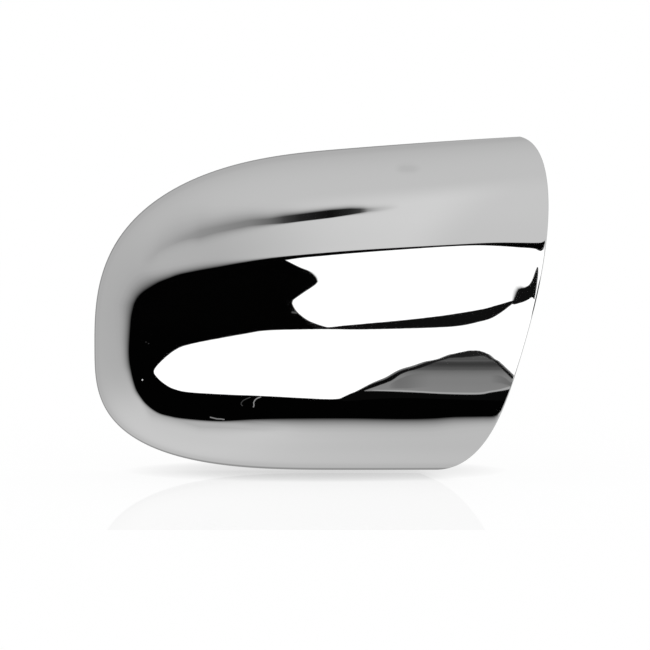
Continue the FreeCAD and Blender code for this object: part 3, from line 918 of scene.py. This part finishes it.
def floor_material():
    """White paint, for the camera with painted soft shade under the cover, and polished in one strip."""
    material, tree, output = new_material("white_floor")
    path = add_node(tree, "ShaderNodeLightPath")
    place = add_node(tree, "ShaderNodeTexCoord").outputs["Object"]
    depth = add_node(tree, "ShaderNodeSeparateXYZ", {"Vector": place}).outputs["Y"]
    paint = add_node(tree, "ShaderNodeBsdfDiffuse", Color=[1, 1, 1, 1])
    nearby = add_node(tree, "ShaderNodeAmbientOcclusion", samples=16, Distance=CONTACT_REACH * MM)
    # The soft shade is painted: the white dims towards a set point under the cover, over an ellipse of set
    # size
    offset = add_node(tree, "ShaderNodeVectorMath", {0: place}, operation="SUBTRACT")
    offset.inputs[1].default_value = Vector((*SHADE_CENTRE, floor_level)) * MM
    apart = add_node(tree, "ShaderNodeVectorMath", {0: offset.outputs["Vector"]}, operation="DIVIDE")
    apart.inputs[1].default_value = Vector((SHADE_WIDTH, SHADE_DEPTH, SHADE_WIDTH)) * MM
    square = add_node(tree, "ShaderNodeVectorMath", {0: apart.outputs["Vector"], 1: apart.outputs["Vector"]},
                      operation="DOT_PRODUCT")
    shaded = tone(tree, (nearby.outputs["AO"], (0, 1 - CONTACT_SHADE), (1, 1)),
                  (square.outputs["Value"], (0, 1 - SOFT_SHADE), (1, 1)), smooth=False)
    white = add_node(tree, "ShaderNodeEmission", {"Strength": shaded}, Color=[1, 1, 1, 1])
    seen = tone(tree, (path.outputs["Is Camera Ray"], (0, 0), (1, 1 - PAINT_SHARE)), smooth=False)
    matt = add_node(tree, "ShaderNodeMixShader", {0: seen, 1: paint.outputs["BSDF"],
                                                  2: white.outputs["Emission"]})
    mirror = add_node(tree, "ShaderNodeBsdfGlossy", Color=[1, 1, 1, 1], Roughness=0.0)
    front = add_node(tree, "ShaderNodeMath", {0: depth}, operation="GREATER_THAN")
    front.inputs[1].default_value = POLISH_FRONT * MM
    back = tone(tree, (depth, ((POLISH_BACK - POLISH_SOFTNESS) * MM, POLISH), (POLISH_BACK * MM, 0)))
    polish = add_node(tree, "ShaderNodeMath", {0: front.outputs["Value"], 1: back}, operation="MULTIPLY")
    surface = add_node(tree, "ShaderNodeMixShader", {0: polish.outputs["Value"], 1: matt.outputs["Shader"],
                                                     2: mirror.outputs["BSDF"]})
    tree.links.new(surface.outputs["Shader"], output.inputs["Surface"])
    return material


def make_floor():
    """The floor, a wide sheet just under the cover."""
    mesh = bpy.data.meshes.new("floor")
    corners = [(-FLOOR_REACH, -FLOOR_REACH), (FLOOR_REACH, -FLOOR_REACH), (FLOOR_REACH, FLOOR_REACH),
               (-FLOOR_REACH, FLOOR_REACH)]
    mesh.from_pydata([Vector((x, y, floor_level)) * MM for x, y in corners], [], [(0, 1, 2, 3)])
    mesh.materials.append(floor_material())
    floor = bpy.data.objects.new("floor", mesh)
    bpy.context.scene.collection.objects.link(floor)
    floor.visible_glossy = False


# The room's tones by direction. The ceiling is lightest over the cover, the wall behind and the floor are a
# little darker, and the room darkens outboard and straight behind. Each pair holds a direction's share along
# an axis and the tone, or the blend, that it has there

CEILING_OUTBOARD = (-0.56, 0.72), (0.11, 1.05)
CEILING_INBOARD = (0.07, 1), (0.2, 0.89)
CEILING_IN_FRONT = (-0.65, 0.975), (-0.35, 1)
WALL_OUTBOARD = (-2.1, 0.35), (-0.14, 0.88)
FLOOR_INBOARD = (-0.26, 0.95), (0.13, 0.82)
FLOOR_BEHIND = (0.13, 1), (1.3, 1.27)
WALL_SHARE = (-0.2, 0), (0.11, 1)
FLOOR_SHARE = (-0.68, 1), (0.02, 0)
STRAIGHT_BEHIND = (0.76, 1), (0.975, 0.86)
STRAIGHT_CORE = (0.93, 1), (0.97, 0.5)


def light_the_world():
    """Even white for the camera, the floor and its polish; the plating sees the room's tones by direction."""
    world = bpy.data.worlds.new("studio")
    world.use_nodes = True
    tree = world.node_tree
    tree.nodes.clear()
    path = add_node(tree, "ShaderNodeLightPath")
    way = add_node(tree, "ShaderNodeTexCoord").outputs["Generated"]
    inboard, behind, up = add_node(tree, "ShaderNodeSeparateXYZ", {"Vector": way}).outputs
    ceiling = tone(tree, (inboard, *CEILING_OUTBOARD), (inboard, *CEILING_INBOARD),
                   (behind, *CEILING_IN_FRONT))
    wall = tone(tree, (inboard, *WALL_OUTBOARD))
    floor = tone(tree, (inboard, *FLOOR_INBOARD), (behind, *FLOOR_BEHIND))
    to_wall, to_floor = tone(tree, (behind, *WALL_SHARE)), tone(tree, (up, *FLOOR_SHARE))
    room = add_node(tree, "ShaderNodeMix", {"Factor": to_wall, 2: ceiling, 3: wall})
    all_round = add_node(tree, "ShaderNodeMix", {"Factor": to_floor, 2: room.outputs[0], 3: floor})
    straight = add_node(tree, "ShaderNodeVectorMath", {0: way}, operation="DOT_PRODUCT")
    straight.inputs[1].default_value = AHEAD
    shaded = tone(tree, (straight.outputs["Value"], *STRAIGHT_BEHIND),
                  (straight.outputs["Value"], *STRAIGHT_CORE))
    light = add_node(tree, "ShaderNodeMath", {0: all_round.outputs[0], 1: shaded}, operation="MULTIPLY")

    mirror = add_node(tree, "ShaderNodeBackground", {"Color": light.outputs["Value"]})
    even = add_node(tree, "ShaderNodeBackground", Color=[1, 1, 1, 1])
    plating_mirrors = add_node(tree, "ShaderNodeMath",
                               {0: path.outputs["Is Glossy Ray"], 1: not_from_floor(tree)},
                               operation="MULTIPLY")
    mix = add_node(tree, "ShaderNodeMixShader", {0: plating_mirrors.outputs["Value"],
                                                 1: even.outputs["Background"],
                                                 2: mirror.outputs["Background"]})
    output = tree.nodes.new("ShaderNodeOutputWorld")
    tree.links.new(mix.outputs["Shader"], output.inputs["Surface"])
    bpy.context.scene.world = world


make_floor()
light_the_world()
make_camera()
bpy.context.scene.view_settings.view_transform = "Standard"
bpy.context.view_layer.update()
